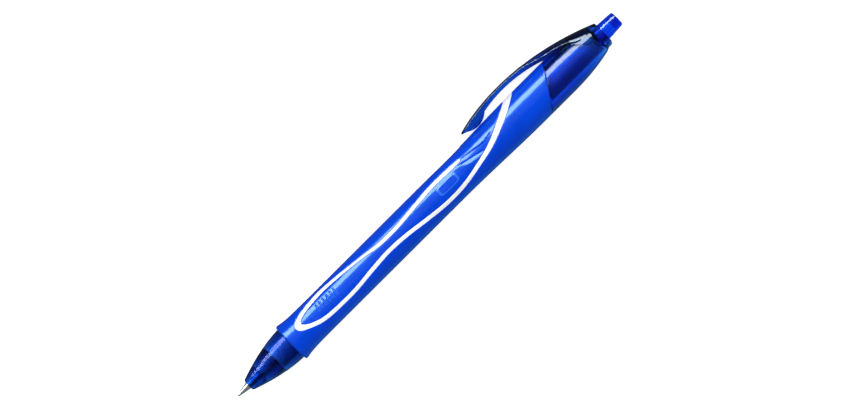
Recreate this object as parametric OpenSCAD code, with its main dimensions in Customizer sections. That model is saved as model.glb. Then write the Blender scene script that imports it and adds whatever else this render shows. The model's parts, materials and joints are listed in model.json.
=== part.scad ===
// Retractable gel pen, millimetres. Every module is drawn along the pen's own axis: Z runs from the
// writing ball (0) to the end of the push button, +X is the side that carries the clip, +Y is the
// pen's flank. place() then lays the pen on a table: the tip points to +X of the finished frame, the
// clip towards -Y and a little down, so that the pen rests on its barrel and its clip and can't roll.

/* [Overall] */
// Length from the writing ball to the end of the push button, with the tip out
pen_len = 145; // [144:0.5:147]
// Angle by which the clip points below the horizontal when the pen lies on a table
lie_deg = 22.7; // [20:0.1:23]

/* [Nose cone] */
// Length of the steel tip that stands out of the nose cone
tip_out = 4.05; // [3.8:0.05:4.3]
// Outer radius of the nose cone at its mouth
nose_mouth_r = 1.75; // [1.65:0.05:1.9]
// Outer radius of the nose cone where it meets the grip
nose_rear_r = 5.15; // [5:0.05:5.3]
// Exponent of the nose cone's swelling outline
nose_power = 1.7; // [1.5:0.1:1.9]

/* [Barrel and grip] */
// Distance from the writing ball to the front face of the grip
grip_z = 20.2; // [20:0.1:20.6]
// Radius of the flared lip at the front of the grip
lip_r = 6; // [5.8:0.05:6.2]
// Radius of the slim part of the barrel
waist_r = 5.42; // [5.35:0.01:5.5]
// How much the barrel's radius grows towards the seam with the rear cap
rear_swell = 0.58; // [0.5:0.01:0.58]
// Wall thickness of the soft grip on the slim part
grip_wall = 0.8; // [0.7:0.05:0.9]
// Distance from the writing ball to the seam between grip and rear cap, on the axis
seam_z = 118; // [117.5:0.1:118.5]
// Slant of that seam
seam_deg = 32.9; // [30:0.5:35]

/* [Rear cap and clip] */
// Distance from the writing ball to the rear edge of the cap
cap_end_z = 137.3; // [137:0.1:137.5]
// Radius of the cap's rear edge
cap_end_r = 4.4; // [4.3:0.02:4.5]
// Distance from the writing ball to the rear face of the clip's collar
collar_z = 139.6; // [139.5:0.1:139.9]
// Height of the clip's outer face above the axis at its highest point
clip_top = 9.75; // [9.6:0.05:9.9]
// Distance from the writing ball to that highest point
clip_top_z = 108.7; // [108:0.1:109.5]
// Distance from the writing ball to the clip's free end
clip_tip_z = 92.9; // [92.5:0.1:93.5]
// Half width of the clip at its narrowest
clip_half_w = 1.9; // [1.7:0.05:2.1]

/* [Mechanism] */
// How far the refill moves back when the tip retracts
retract = 5; // [4.8:0.1:5]
// How far the button can be pressed beyond its latched place
press = 1.5; // [1:0.1:1.5]
// Radius of the push button inside the barrel
button_r = 2.33; // [2.25:0.01:2.35]
// Radius of the push button where it leaves the collar
button_head_r = 2.52; // [2.4:0.01:2.55]
// Radius of the push button near its end
button_end_r = 2.25; // [2.2:0.01:2.3]
// Outer radius of the refill tube
tube_r = 2.75; // [2.6:0.05:2.8]
// Radius of the writing ball
ball_r = 0.35; // [0.3:0.05:0.35]
// Turns of the return spring
spring_turns = 16; // [14:1:17]

/* [Hidden] */
$fn = 64;

// Clearances: parts that are pushed together, parts that run in each other, and axial stops
fit_gap = 0.02;
run_gap = 0.08;
stop_gap = 0.05;

// Barrel: the hard core under the grip, its threaded neck and its bore
core_r = waist_r - grip_wall;
line_root = 0.3;
neck_z = 14.6;
neck_r = 3.45;
neck_bore_r = 3;
neck_bore_end_z = 24;
thread_r = neck_r + 0.15;
thread_pitch = 1.1;
thread_turns = 4;
core_bore_r = 3.9;
lip_z = grip_z + 0.7;
lip_face_r = lip_r - 0.45;
lip_fade = 2.2;
swell_from = 82;
swell_len = 30;
cap_taper_from = 122;
cap_taper_power = 2.35;

// Nose cone: the bore for the tip, the bore for its holder, and the room for the spring
nose_bore_r = 1.2;
nose_bore_end_z = 6.6;
holder_room_r = 1.55;
spring_seat_z = 8.8;
spring_room_r = 2.4;
thread_room_r = thread_r + run_gap;
thread_room_z = neck_z - 0.3;

// Rear cap: the plug that holds it in the core, and the bore for the cam sleeve
cap_plug_z = 108;
cap_plug_bore_r = 3.2;
cam_r = 3.6;
cam_bore_r = 3;
cam_z = 117.4;
cam_end_z = 136.3;

// Clip: the two arcs of its outer face, the arc of its underside, its pad and its hinge line
clip_front_arc = 62;
clip_rear_arc = 75;
under_arc = 42;
under_top = 8.4;
under_top_z = 109.3;
pad_arc = 5.6;
pad_z = 97.7;
pad_low = 5.85;
pad_half_w = 1.3;
hinge_z = 121.3;
hinge_x = 7.65;
hinge_r = 0.6;
hinge_play = 0.15;

// Cam: four ribs on the sleeve, four on the rotor, four on the button, and eight crown teeth
ribs = 4;
rib_deg = 16;
sleeve_rib_z = 126.6;
sleeve_rib_r = 2.45;
sleeve_rib_len = 9.4;
rotor_rib_z = 122.4;
rotor_rib_len = 3.9;
rotor_rib_turn = 20;
rotor_body_r = 2.2;
rotor_z = 111.55;
rotor_body_z = 120.6;
rotor_crown_z = 125.9;
moving_rib_r = 2.9;
crown_teeth = 8;
crown_h = 0.9;
button_crown_z = 127;
button_rib_z = 128.1;
button_rib_end_z = cam_end_z - retract - 0.15;
button_bore_r = 1.3;
button_bore_end_z = 142.6;
button_head_z = 137.7;
button_round = 0.45;

// Refill
tube_z = 23.5;
tube_end_z = 110;
tube_bore_r = 2.2;
ink_z = 28.05;
ink_end_z = 88;
follower_end_z = 94;
holder_z = 8.6;
holder_r = 1.4;
holder_shoulder_z = 22;
holder_bore_r = 0.8;
tip_shank_r = 1.08;
tip_shank_z = 4.6;
tip_end_z = 11;
seat_play = 0.015;
spring_mean_r = 1.9;
spring_wire_r = 0.15;

// Barrel outline: a lip that fades into the waist, a swell towards the seam, a taper over the cap
function ease(t) = let (u = min(max(t, 0), 1)) u * u * (3 - 2 * u);
function lip_part(z) = (lip_r - waist_r) * exp(-(z - lip_z) / lip_fade);
function swell_part(z) = rear_swell * ease((z - swell_from) / swell_len);
function cap_drop(z) = let (t = max(z - cap_taper_from, 0) / (cap_end_z - cap_taper_from))
    (waist_r + rear_swell - cap_end_r) * pow(t, cap_taper_power);
function outline_r(z) = waist_r + lip_part(z) + swell_part(z) - cap_drop(z);
function nose_r(z) = let (t = (z - tip_out) / (grip_z - tip_out))
    nose_mouth_r + (nose_rear_r - nose_mouth_r) * (1 - pow(1 - t, nose_power));

// Catmull-Rom curve through a list of points
function blend(a, b, c, d, t) = 0.5 * (2 * b + (c - a) * t + (2 * a - 5 * b + 4 * c - d) * t * t
    + (3 * b - a - 3 * c + d) * t * t * t);
function curve(p, n) = [for (i = [0 : len(p) - 2], k = [0 : n - 1])
    blend(p[max(i - 1, 0)], p[i], p[i + 1], p[min(i + 2, len(p) - 1)], k / n), p[len(p) - 1]];

// The white line seen from the flank: [z, x, half width] along its middle. It starts behind the
// panel's upper edge, runs forward, rounds the panel's front, comes back along the lower edge and
// climbs over the top of the barrel behind the clip's free end.
line_points = [
    [87.4, 3.45, 0.3], [83.5, 3.55, 0.45], [77, 3.65, 0.44], [70, 3.15, 0.45],
    [63, 2.6, 0.44], [56.5, 2.6, 0.43], [50.5, 3.4, 0.28], [46.4, 3.85, 0.26],
    [42.5, 4.22, 0.3], [36, 4.58, 0.36], [31, 4.35, 0.42], [26.7, 3.6, 0.5],
    [25.05, 2.25, 0.95], [26.8, 0.55, 0.6], [31, -1.1, 0.56], [36, -1.6, 0.53],
    [43, -1.62, 0.53], [49.6, -0.98, 0.54], [56.5, -0.5, 0.54], [63.2, -0.85, 0.54],
    [70, -1.78, 0.54], [77, -2.52, 0.54], [83.5, -2.36, 0.55], [90.3, -1.1, 0.56],
    [96.5, 0.5, 0.68], [103.3, 3.35, 0.82], [108.3, 5.75, 0.75], [112, 7.6, 0.75]];
line_steps = 3;
line_path = curve(line_points, line_steps);

function side_step(p, i) = let (a = p[max(i - 1, 0)], b = p[min(i + 1, len(p) - 1)],
    d = [b[0] - a[0], b[1] - a[1]]) [-d[1], d[0]] / norm(d);
function line_edge(p, s) = [for (i = [0 : len(p) - 1]) [p[i][0], p[i][1]]
    + s * p[i][2] * side_step(p, i)];
function reversed(p) = [for (i = [len(p) - 1 : -1 : 0]) p[i]];

// Outlines in the plane of the pen's axis (first value) and the clip (second value)
function clip_top_x(z) = let (r = z < clip_top_z ? clip_front_arc : clip_rear_arc)
    clip_top - (z - clip_top_z) * (z - clip_top_z) / (2 * r);
function clip_under_x(z) = under_top - (z - under_top_z) * (z - under_top_z) / (2 * under_arc);
clip_plan = [[clip_tip_z, 0.6], [93.6, 1.35], [95.2, 2], [98, 2.3], [102, 2.15],
    [clip_top_z, clip_half_w], [114, 2.05], [118, 2.4], [hinge_z, 2.85], [124, 3.1],
    [127, 3.4], [130.4, 3.95], [133, 4.85], [135.2, 5], [collar_z + 1, 5]];

// The seam between cap and clip moulding falls from the clip's root to the button's far side
seam_arc_r = 30;
seam_arc_z = 112.1;
seam_arc_x = -19.45;

// ---- helpers ----

// Puts a piece drawn along the pen's axis into the finished frame
module place() {
    axis_y = (clip_top * cos(lie_deg) + clip_half_w * sin(lie_deg) - lip_r) / 2;
    translate([0, axis_y, lip_r])
        rotate([90 + lie_deg, 0, 0])
            rotate([0, -90, 0])
                translate([0, 0, -pen_len / 2])
                    children();
}

// A tube or disc between two stations
module ring(z0, z1, outer, inner) {
    difference() {
        translate([0, 0, z0]) cylinder(h = z1 - z0, r = outer);
        translate([0, 0, z0 - 1]) cylinder(h = z1 - z0 + 2, r = inner);
    }
}

// A prism whose outline lies in the plane of axis and clip, cut through the pen's flanks
module from_flank(points, half_width) {
    rotate([90, 0, 0])
        linear_extrude(height = 2 * half_width, center = true)
            polygon([for (p = points) [p[1], p[0]]]);
}

// Everything in front of the slanted seam (side = -1) or behind it (side = 1)
module seam_side(side, gap = 0) {
    translate([0, 0, seam_z])
        rotate([0, -seam_deg, 0])
            translate([0, 0, side * (gap + pen_len)])
                cube(2 * pen_len, center = true);
}

// Solid of revolution under the barrel's outline
module outline_body(z0, z1, step, inset = 0) {
    count = ceil((z1 - z0) / step);
    stations = [for (i = [0 : count]) z0 + (z1 - z0) * i / count];
    rotate_extrude()
        polygon(concat([[0, z0]], [for (z = stations) [outline_r(z) - inset, z]], [[0, z1]]));
}

// The whole outer body of the grip, front lip to behind the seam
module grip_body() {
    rotate_extrude()
        polygon(concat(
            [[0, grip_z], [lip_face_r, grip_z], [lip_r - 0.2, grip_z + 0.15],
                [lip_r - 0.05, grip_z + 0.4]],
            [for (z = [lip_z, 21.8, 22.8, 24, 25.5, 27.5, 31]) [outline_r(z), z]],
            [for (z = [swell_from : 4 : 126]) [outline_r(z), z]],
            [[0, 126]]));
}

// The white line as a prism through both flanks
module line_prism() {
    from_flank(concat(line_edge(line_path, 1), reversed(line_edge(line_path, -1))), 20);
}

// The raised line: the part of the prism between the core and the grip's outer skin
module raised_line() {
    intersection() {
        difference() {
            grip_body();
            translate([0, 0, grip_z - 1]) cylinder(h = 130, r = core_r - line_root);
        }
        line_prism();
    }
}

// The part of the cap's zone that belongs to the clip moulding
module clip_zone(grow = 0) {
    arc = [for (a = [64 : -5 : 29]) [seam_arc_z + (seam_arc_r + grow) * cos(a),
        seam_arc_x + (seam_arc_r + grow) * sin(a)]];
    from_flank(concat(arc, [[142, arc[len(arc) - 1][1]], [142, 12], [arc[0][0], 12]]), 20);
}

// Sector-shaped ribs around the axis
module rib_ring(count, z0, len, inner, outer, width_deg, turn = 0) {
    for (i = [0 : count - 1])
        rotate([0, 0, turn + i * 360 / count - width_deg / 2])
            translate([0, 0, z0])
                rotate_extrude(angle = width_deg)
                    translate([inner, 0])
                        square([outer - inner, len]);
}

// A wire swept along a path of points
function sweep_points(path, r, sides) = [for (i = [0 : len(path) - 1])
    let (a = path[max(i - 1, 0)], b = path[min(i + 1, len(path) - 1)],
        t = (b - a) / norm(b - a),
        side = abs(t[2]) > 0.98 ? [1, 0, 0] : cross(t, [0, 0, 1]) / norm(cross(t, [0, 0, 1])),
        up = cross(side, t))
    for (k = [0 : sides - 1]) path[i]
        + r * (side * cos(360 * k / sides) + up * sin(360 * k / sides))];
function sweep_faces(rings, sides) = concat(
    [[for (k = [0 : sides - 1]) k]],
    [[for (k = [sides - 1 : -1 : 0]) (rings - 1) * sides + k]],
    [for (i = [0 : rings - 2], k = [0 : sides - 1], h = [0, 1])
        let (a = i * sides + k, b = i * sides + (k + 1) % sides)
        h == 0 ? [a, a + sides, b] : [b, a + sides, b + sides]]);
module wire(path, r, sides) {
    polyhedron(sweep_points(path, r, sides), sweep_faces(len(path), sides), convexity = 6);
}

// ---- pieces ----

// Translucent cone screwed to the front of the barrel
module nose_cone() {
    rear = grip_z - stop_gap;
    stations = [for (i = [0 : 12]) tip_out + 0.25 + (rear - tip_out - 0.25) * i / 12];
    color([0.05, 0.1, 0.5, 0.75])
        difference() {
            rotate_extrude()
                polygon(concat([[0, tip_out], [nose_mouth_r - 0.25, tip_out]],
                    [for (z = stations) [nose_r(z), z]], [[0, rear]]));
            cylinder(h = 30, r = nose_bore_r);
            translate([0, 0, nose_bore_end_z]) cylinder(h = 30, r = holder_room_r);
            translate([0, 0, spring_seat_z]) cylinder(h = 30, r = spring_room_r);
            translate([0, 0, thread_room_z]) cylinder(h = 30, r = thread_room_r);
        }
}

// White hard core with a threaded neck; its raised line shows through the grip
module barrel_core() {
    color("white") {
        difference() {
            union() {
                intersection() {
                    translate([0, 0, grip_z]) cylinder(h = 110, r = core_r);
                    seam_side(-1, fit_gap);
                }
                translate([0, 0, neck_z]) cylinder(h = grip_z - neck_z + 1, r = neck_r);
                for (i = [0 : thread_turns - 1])
                    translate([0, 0, neck_z + 0.4 + i * thread_pitch])
                        cylinder(h = thread_pitch / 2, r = thread_r);
                raised_line();
            }
            translate([0, 0, neck_z - 1]) cylinder(h = 120, r = neck_bore_r);
            translate([0, 0, neck_bore_end_z]) cylinder(h = 120, r = core_bore_r);
        }
    }
}

// Soft blue skin moulded over the core, cut through where the line shows
module grip_sleeve() {
    color("royalblue")
        difference() {
            intersection() {
                grip_body();
                seam_side(-1, fit_gap);
            }
            translate([0, 0, grip_z - 1]) cylinder(h = 130, r = core_r);
            line_prism();
        }
}

// Translucent cap that closes the barrel and carries the cam sleeve
module rear_cap() {
    color([0.05, 0.06, 0.4, 0.75])
        difference() {
            union() {
                intersection() {
                    outline_body(seam_z - 8, cap_end_z, 1.6);
                    seam_side(1, fit_gap);
                }
                translate([0, 0, cap_plug_z])
                    cylinder(h = seam_z + 2 - cap_plug_z, r = core_bore_r - fit_gap);
            }
            translate([0, 0, cap_plug_z - 1]) cylinder(h = 40, r = cap_plug_bore_r);
            translate([0, 0, cam_z - fit_gap]) cylinder(h = 40, r = cam_r + fit_gap);
            clip_zone();
        }
}

// The collar and root of the clip, which close the rear end around the button
module clip_collar() {
    stations = [for (z = [hinge_z + hinge_play : 1.4 : collar_z - 1.2]) z];
    wide = reversed(curve(clip_plan, 2));
    color([0.04, 0.05, 0.35, 0.8])
        difference() {
            union() {
                intersection() {
                    rotate_extrude()
                        polygon(concat([[0, stations[0]]],
                            [for (z = stations) [clip_top_x(z), z]],
                            [[clip_top_x(collar_z) + 0.35, collar_z - 0.8],
                                [clip_top_x(collar_z), collar_z], [0, collar_z]]));
                    rotate([0, 90, 0])
                        linear_extrude(height = 40, center = true)
                            polygon(concat([for (p = wide) [-p[0], p[1]]],
                                [for (p = reversed(wide)) [-p[0], -p[1]]]));
                    union() {
                        clip_zone(fit_gap);
                        translate([outline_r(hinge_z) - 2, -20, hinge_z + hinge_play])
                            cube([12, 40, 8]);
                    }
                }
                translate([0, 0, cam_end_z + fit_gap])
                    cylinder(h = collar_z - cam_end_z - fit_gap - 0.15, r = 3.05);
                // Snap tab under the collar
                translate([-4.15, -1.2, cap_end_z + 0.1]) cube([2, 2.4, 2.1]);
            }
            difference() {
                outline_body(seam_z, cap_end_z, 1.6, -fit_gap);
                clip_zone();
            }
            translate([0, 0, 100])
                cylinder(h = cam_end_z + fit_gap - 100, r = cam_r + fit_gap);
            translate([0, 0, 100]) cylinder(h = 60, r = button_head_r + run_gap);
            translate([hinge_x, 0, hinge_z])
                rotate([90, 0, 0])
                    cylinder(h = 20, r = hinge_r + stop_gap, center = true);
        }
}

// The springy arm of the clip with the pad at its free end
module clip_arm() {
    top = [for (z = [hinge_z, 119, 116.5, 114, 111.5, clip_top_z, 106, 103, 100, 97, 94.5])
        [z, clip_top_x(z)]];
    under = [for (z = [101.7, 103.5, 105.5, 107.5, under_top_z, 111.5, 114, 116.5, 119, hinge_z])
        [z, clip_under_x(z)]];
    wide = curve(clip_plan, 3);
    pad_x = pad_low + pad_arc;
    pad = [for (a = [228 : 8 : 308]) [pad_z + pad_arc * cos(a), pad_x + pad_arc * sin(a)]];
    color([0.04, 0.05, 0.35, 0.8])
        difference() {
            intersection() {
                union() {
                    from_flank(concat(top, [[clip_tip_z, clip_top_x(clip_tip_z) - 0.1],
                        [94.6, 6.95], [97, 6.75], [100, 6.95]], under), 6);
                    from_flank(concat(pad, [[101, 8.2], [95, 8]]), pad_half_w);
                    translate([hinge_x, 0, hinge_z])
                        rotate([90, 0, 0])
                            cylinder(h = 12, r = hinge_r, center = true);
                }
                rotate([0, 90, 0])
                    linear_extrude(height = 40, center = true)
                        polygon(concat([for (p = wide) [-p[0], p[1]]],
                            [for (p = reversed(wide)) [-p[0], -p[1]]]));
            }
        }
}

// Push button with guide ribs and a toothed crown
module push_button() {
    color([0.1, 0.3, 0.95, 0.85])
        difference() {
            union() {
                rotate_extrude()
                    polygon([[0, button_crown_z + crown_h], [button_r, button_crown_z + crown_h],
                        [button_r, button_head_z], [button_head_r, button_head_z + 0.25],
                        [button_head_r, collar_z + 0.8], [button_end_r, pen_len - button_round],
                        [button_end_r - 0.13, pen_len - 0.13], [button_end_r - 0.45, pen_len],
                        [0, pen_len]]);
                crown(button_crown_z, -1);
                rib_ring(ribs, button_rib_z, button_rib_end_z - button_rib_z,
                    button_r - 0.5, moving_rib_r, rib_deg * 0.6, 45);
            }
            translate([0, 0, 120]) cylinder(h = button_bore_end_z - 120, r = button_bore_r);
        }
}

// Ring of pointed teeth: up = 1 points to the rear, up = -1 to the tip
module crown(z0, up) {
    pitch = 360 / crown_teeth;
    base = up > 0 ? z0 : z0 + crown_h;
    intersection() {
        translate([0, 0, z0]) cylinder(h = crown_h, r = rotor_body_r);
        for (i = [0 : crown_teeth - 1])
            rotate([0, 0, i * pitch])
                translate([0, 0, base])
                    rotate([90, 0, 90])
                        linear_extrude(height = 2 * rotor_body_r)
                            polygon([[-0.7, -up * 0.1], [0.7, -up * 0.1], [0.7, 0], [0, up * crown_h],
                                [-0.7, 0]]);
    }
}

// Fixed tube with the guide ribs of the click mechanism
module cam_sleeve() {
    color("lightsteelblue")
        union() {
            ring(cam_z, cam_end_z, cam_r, cam_bore_r);
            rib_ring(ribs, sleeve_rib_z, sleeve_rib_len, sleeve_rib_r,
                (cam_r + cam_bore_r) / 2, rib_deg);
        }
}

// Rotor that turns a step at each click and bears on the refill
module cam_rotor() {
    color("ivory")
        union() {
            rotate_extrude()
                polygon([[0, rotor_z], [2, rotor_z], [2, rotor_z + 0.8], [1.5, rotor_z + 1.3],
                    [1.5, rotor_body_z - 0.6], [rotor_body_r, rotor_body_z],
                    [rotor_body_r, rotor_crown_z], [0, rotor_crown_z]]);
            crown(rotor_crown_z, 1);
            rib_ring(ribs, rotor_rib_z, rotor_rib_len, rotor_body_r - 0.3, moving_rib_r,
                rib_deg, rotor_rib_turn);
        }
}

// Steel return spring between the nose cone's seat and the holder's shoulder
module return_spring() {
    z0 = spring_seat_z + spring_wire_r + stop_gap;
    z1 = holder_shoulder_z - spring_wire_r - stop_gap;
    per_turn = 12;
    count = spring_turns * per_turn;
    path = [for (i = [0 : count]) let (a = 360 * i / per_turn)
        [spring_mean_r * cos(a), spring_mean_r * sin(a), z0 + (z1 - z0) * i / count]];
    color("silver") wire(path, spring_wire_r, 6);
}

// Clear tube that holds the ink
module refill_tube() {
    color([0.85, 0.9, 0.95, 0.5]) ring(tube_z, tube_end_z, tube_r, tube_bore_r);
}

// Column of gel ink
module gel_ink() {
    color("mediumblue")
        translate([0, 0, ink_z]) cylinder(h = ink_end_z - ink_z, r = tube_bore_r - 0.01);
}

// Grease plug that follows the ink down the tube
module ink_follower() {
    color("lightyellow")
        translate([0, 0, ink_end_z])
            cylinder(h = follower_end_z - ink_end_z, r = tube_bore_r - 0.01);
}

// Vented plug in the tube's rear end, which the rotor bears on
module tail_plug() {
    color("white")
        difference() {
            union() {
                translate([0, 0, tube_end_z - 3]) cylinder(h = 3.2, r = tube_bore_r - 0.01);
                translate([0, 0, tube_end_z]) cylinder(h = 1.5, r = tube_r - 0.05);
            }
            translate([0, 0, tube_end_z - 4]) cylinder(h = 8, r = 0.4);
        }
}

// Plastic holder between tube and steel tip, with the spring's shoulder
module tip_holder() {
    color("whitesmoke")
        difference() {
            union() {
                translate([0, 0, holder_z]) cylinder(h = 14, r = holder_r);
                translate([0, 0, holder_shoulder_z])
                    cylinder(h = tube_z - holder_shoulder_z, r = 2.6);
                translate([0, 0, tube_z - 0.1])
                    cylinder(h = ink_z - tube_z, r = tube_bore_r - 0.01);
            }
            translate([0, 0, holder_z - 1]) cylinder(h = 30, r = holder_bore_r);
            translate([0, 0, holder_z - 1])
                cylinder(h = tip_end_z + stop_gap - holder_z + 1, r = tip_shank_r + 0.01);
        }
}

// Steel point with the socket of the ball and the ink channel
module writing_tip() {
    lip = ball_r - 0.13;
    color("silver")
        difference() {
            rotate_extrude()
                polygon([[0, lip], [ball_r + 0.03, lip], [tip_shank_r - 0.03, tip_shank_z - 0.4],
                    [tip_shank_r, tip_shank_z], [tip_shank_r, tip_end_z], [0, tip_end_z]]);
            translate([0, 0, ball_r]) sphere(r = ball_r + seat_play);
            translate([0, 0, ball_r]) cylinder(h = 20, r = 0.2);
            translate([0, 0, 2.2]) cylinder(h = 20, r = 0.6);
        }
}

// Hair spring whose straight end keeps the ball against its socket
module ball_spring() {
    per_turn = 12;
    turns = 7;
    z0 = 2 * ball_r + 0.03;
    coil_z = 2.6;
    coil_end_z = tip_end_z - 0.4;
    count = turns * per_turn;
    needle = [for (k = [0 : 4]) [0, 0, z0 + (coil_z - 0.4 - z0) * k / 4]];
    coil = [for (i = [1 : count]) let (a = 360 * i / per_turn, r = 0.4 * min(1, i / per_turn))
        [r * cos(a), r * sin(a), coil_z + (coil_end_z - coil_z) * i / count]];
    color("silver") wire(concat(needle, coil), 0.08, 6);
}

// Ball that rolls the ink on to the paper
module writing_ball() {
    color("dimgray") translate([0, 0, ball_r]) sphere(r = ball_r);
}

place() nose_cone();
place() barrel_core();
place() grip_sleeve();
place() rear_cap();
place() clip_collar();
place() clip_arm();
place() push_button();
place() cam_sleeve();
place() cam_rotor();
place() return_spring();
place() refill_tube();
place() gel_ink();
place() ink_follower();
place() tail_plug();
place() tip_holder();
place() writing_tip();
place() ball_spring();
place() writing_ball();
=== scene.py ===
"""Gel pen lying on a table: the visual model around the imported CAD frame.

Shapes are written along the pen's own axis in millimetres: z from the writing ball (0) to the end of
the push button, x towards the clip and y towards the flank. world() lays them in the CAD frame.
"""
import json
import math

import bmesh
import bpy
import numpy as np
from mathutils import Matrix, Vector

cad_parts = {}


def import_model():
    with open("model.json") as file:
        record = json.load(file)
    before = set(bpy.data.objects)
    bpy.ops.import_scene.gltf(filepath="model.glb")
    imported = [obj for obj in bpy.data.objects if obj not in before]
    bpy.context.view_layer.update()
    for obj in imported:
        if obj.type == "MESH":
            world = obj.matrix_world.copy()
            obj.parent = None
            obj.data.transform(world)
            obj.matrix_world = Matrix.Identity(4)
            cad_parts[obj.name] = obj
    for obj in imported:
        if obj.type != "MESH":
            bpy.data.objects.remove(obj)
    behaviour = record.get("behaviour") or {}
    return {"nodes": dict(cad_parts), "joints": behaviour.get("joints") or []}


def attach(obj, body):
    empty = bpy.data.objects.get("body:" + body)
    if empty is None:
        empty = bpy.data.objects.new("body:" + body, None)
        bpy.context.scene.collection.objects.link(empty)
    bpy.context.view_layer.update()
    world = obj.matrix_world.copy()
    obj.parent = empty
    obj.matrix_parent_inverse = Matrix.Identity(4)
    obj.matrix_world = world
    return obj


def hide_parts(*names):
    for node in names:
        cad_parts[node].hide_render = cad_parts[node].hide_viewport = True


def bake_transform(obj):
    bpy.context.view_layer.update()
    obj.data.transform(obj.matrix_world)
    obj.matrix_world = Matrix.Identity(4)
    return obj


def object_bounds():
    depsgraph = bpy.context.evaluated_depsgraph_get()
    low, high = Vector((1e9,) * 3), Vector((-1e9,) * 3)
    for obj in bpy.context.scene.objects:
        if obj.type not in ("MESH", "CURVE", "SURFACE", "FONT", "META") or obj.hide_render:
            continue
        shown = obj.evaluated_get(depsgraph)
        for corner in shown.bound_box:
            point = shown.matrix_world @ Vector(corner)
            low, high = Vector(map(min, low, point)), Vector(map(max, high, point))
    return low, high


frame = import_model()
cad_low, cad_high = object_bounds()
JOINTS = {j["name"]: j for j in frame["joints"]}

MM = 0.001
# The pen's place in the frame: how far it is rolled onto its clip, its axis, and its tip
LIE = math.atan2(JOINTS["clip_flex"]["axis"][1], -JOINTS["clip_flex"]["axis"][2])
AXIS_Y, AXIS_Z = JOINTS["rotor_turn"]["pos_m"][1:]
TIP_X = cad_high.x


def world(x, y, z):
    """Points of the pen's own axes, in millimetres, as points of the CAD frame in metres."""
    x, y, z = np.broadcast_arrays(*(np.asarray(v, float) for v in (x, y, z)))
    c, s = math.cos(LIE), math.sin(LIE)
    return np.stack([TIP_X - z * MM, AXIS_Y - (x * c + y * s) * MM, AXIS_Z + (y * c - x * s) * MM], -1)


def local(points):
    """Points of the CAD frame, in metres, as x, y and z of the pen's own axes in millimetres."""
    c, s = math.cos(LIE), math.sin(LIE)
    dy, dz = (AXIS_Y - points[:, 1]) / MM, (points[:, 2] - AXIS_Z) / MM
    return dy * c - dz * s, dy * s + dz * c, (TIP_X - points[:, 0]) / MM


# ---- outlines, in millimetres ----

FAR = 9.0     # further off than any line or edge matters
CLEAR = 0.02  # the gap between surfaces that lie on one another

# Barrel: a waist that swells to the lip in front and to the shoulder behind, then tapers
WAIST_R, SWELL = 5.42, 0.58
GRIP_Z, LIP_Z, LIP_FADE = 20.2, 20.9, 2.2
SHOULDER_Z, SHOULDER_RUN = 82, 30
TAPER_Z, TAPER_RUN, TAPER_DROP, TAPER_POWER = 122, 15.3, 1.6, 2.35
CAP_END_Z, COLLAR_FRONT_Z, COLLAR_Z = 137.3, 137.33, 139.6
NOSE_Z, NOSE_RUN, NOSE_R, NOSE_FLARE, NOSE_POWER = 4.05, 16.15, 1.75, 3.4, 1.7

# The slanted seam between grip and cap, and the arc where the clip's hood meets the cap
SEAM_Z, SEAM_TAN, SEAM_GAP = 118.0, math.tan(math.radians(32.9)), 0.03
SEAM_ARC_R, SEAM_ARC_Z, SEAM_ARC_X = 30.0, 112.1, -19.45

# Clip: the crests of its top and its underside, and how flat they bow away from them
CLIP_TIP_Z = 92.9
TOP_X, TOP_Z, TOP_BOW_FRONT, TOP_BOW_REAR = 9.75, 108.7, 124.0, 150.0
UNDER_X, UNDER_Z, UNDER_BOW = 8.4, 109.3, 84

# Bores, the fixed tube of the cam, and the button
GRIP_BORE_R, COLLAR_BORE_R, CAM_R = 4.62, 2.61, 3.6
BUTTON_R, BUTTON_HEAD_R, BUTTON_END = 2.33, 2.52, 145.0


def ease(t):
    """Smooth step from 0 to 1."""
    t = np.clip(t, 0, 1)
    return t * t * (3 - 2 * t)


def outline_r(z):
    """Radius of the barrel and the rear cap."""
    z = np.asarray(z, float)
    lip_swell = SWELL * np.exp(-(z - LIP_Z) / LIP_FADE)
    shoulder = SWELL * ease((z - SHOULDER_Z) / SHOULDER_RUN)
    taper = TAPER_DROP * (np.maximum(z - TAPER_Z, 0) / TAPER_RUN) ** TAPER_POWER
    return WAIST_R + lip_swell + shoulder - taper


def nose_r(z):
    """Radius of the nose cone."""
    t = np.clip((np.asarray(z, float) - NOSE_Z) / NOSE_RUN, 0, 1)
    return NOSE_R + NOSE_FLARE * (1 - (1 - t) ** NOSE_POWER)


def clip_top_x(z):
    """Height of the clip's top over the pen's axis."""
    z = np.asarray(z, float)
    return TOP_X - (z - TOP_Z) ** 2 / np.where(z < TOP_Z, TOP_BOW_FRONT, TOP_BOW_REAR)


def clip_under_x(z):
    """Height of the arm's underside over the pen's axis."""
    z = np.asarray(z, float)
    return UNDER_X - (z - UNDER_Z) ** 2 / UNDER_BOW


def seam_arc_x(z):
    """Height of the hood's lower edge over the pen's axis."""
    z = np.asarray(z, float)
    return SEAM_ARC_X + np.sqrt(np.maximum(SEAM_ARC_R ** 2 - (z - SEAM_ARC_Z) ** 2, 0))


def catmull(points, steps):
    """Smooth curve through rows of numbers."""
    p = np.array(points, float)
    p = np.vstack([p[0], p, p[-1]])
    t = np.linspace(0, 1, steps, endpoint=False)[:, None]
    rows = [0.5 * (2 * b + (c - a) * t + (2 * a - 5 * b + 4 * c - d) * t ** 2
                   + (3 * b - a - 3 * c + d) * t ** 3)
            for a, b, c, d in zip(p, p[1:], p[2:], p[3:])]
    return np.vstack(rows + [p[-1:]])


# The clip seen from above: z and half width
CLIP_PLAN = catmull([(CLIP_TIP_Z, 0.6), (93.6, 1.35), (95.2, 2), (98, 2.3), (102, 2.15), (108.7, 1.9),
                     (114, 2.05), (118, 2.4), (121.3, 2.85), (124, 3.1), (127, 3.4),
                     (130.4, 3.95), (133, 4.85), (135.2, 5), (140.6, 5)], 6)


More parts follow.
